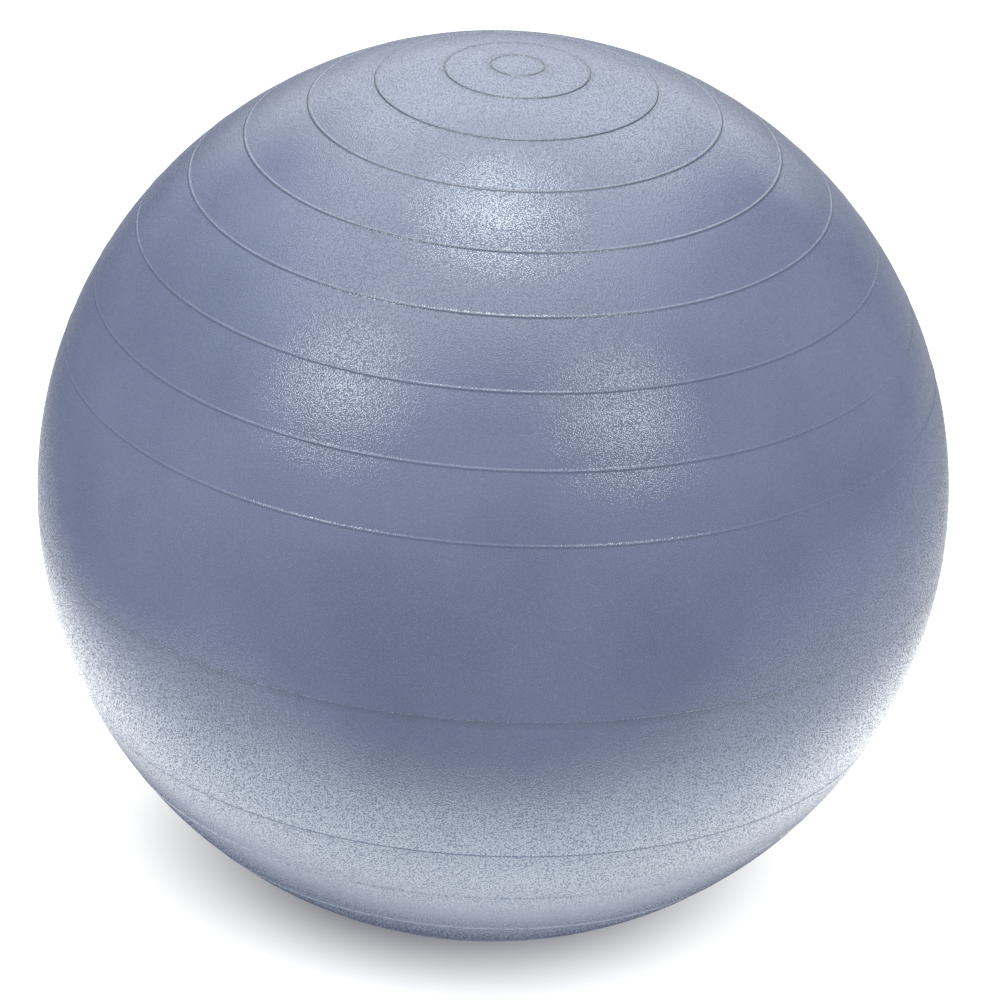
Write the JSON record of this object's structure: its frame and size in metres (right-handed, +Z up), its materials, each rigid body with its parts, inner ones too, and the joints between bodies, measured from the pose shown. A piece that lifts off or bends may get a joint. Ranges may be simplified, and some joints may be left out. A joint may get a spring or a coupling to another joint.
{
  "type": "exercise ball",
  "caption": "Inflated vinyl exercise ball with raised rings around it, a flush valve insert in its wall and a push-in air plug.",
  "frame": {"origin": "on the floor, straight below the ball's centre, at the middle of the flat patch it rests on", "axes": "+Z up, along the axis that the ribs run round; +Y out through the valve; +X completes the right-handed frame"},
  "size_m": [0.65, 0.6496, 0.6473],
  "materials": {
    "shell_vinyl": "satin blue-grey vinyl with a fine stippled mould texture",
    "insert_vinyl": "smooth satin blue-grey vinyl",
    "plug_plastic": "smooth satin off-white plastic"
  },
  "bodies": {
    "ball": {"shell": "shell_vinyl", "valve_insert": "insert_vinyl"},
    "plug": {"air_plug": "plug_plastic"}
  },
  "joints": [
    {"name": "plug_pull", "type": "slide", "parent": "ball", "child": "plug", "axis": [0, 1, 0], "range_m": [0, 0.045]}
  ]
}
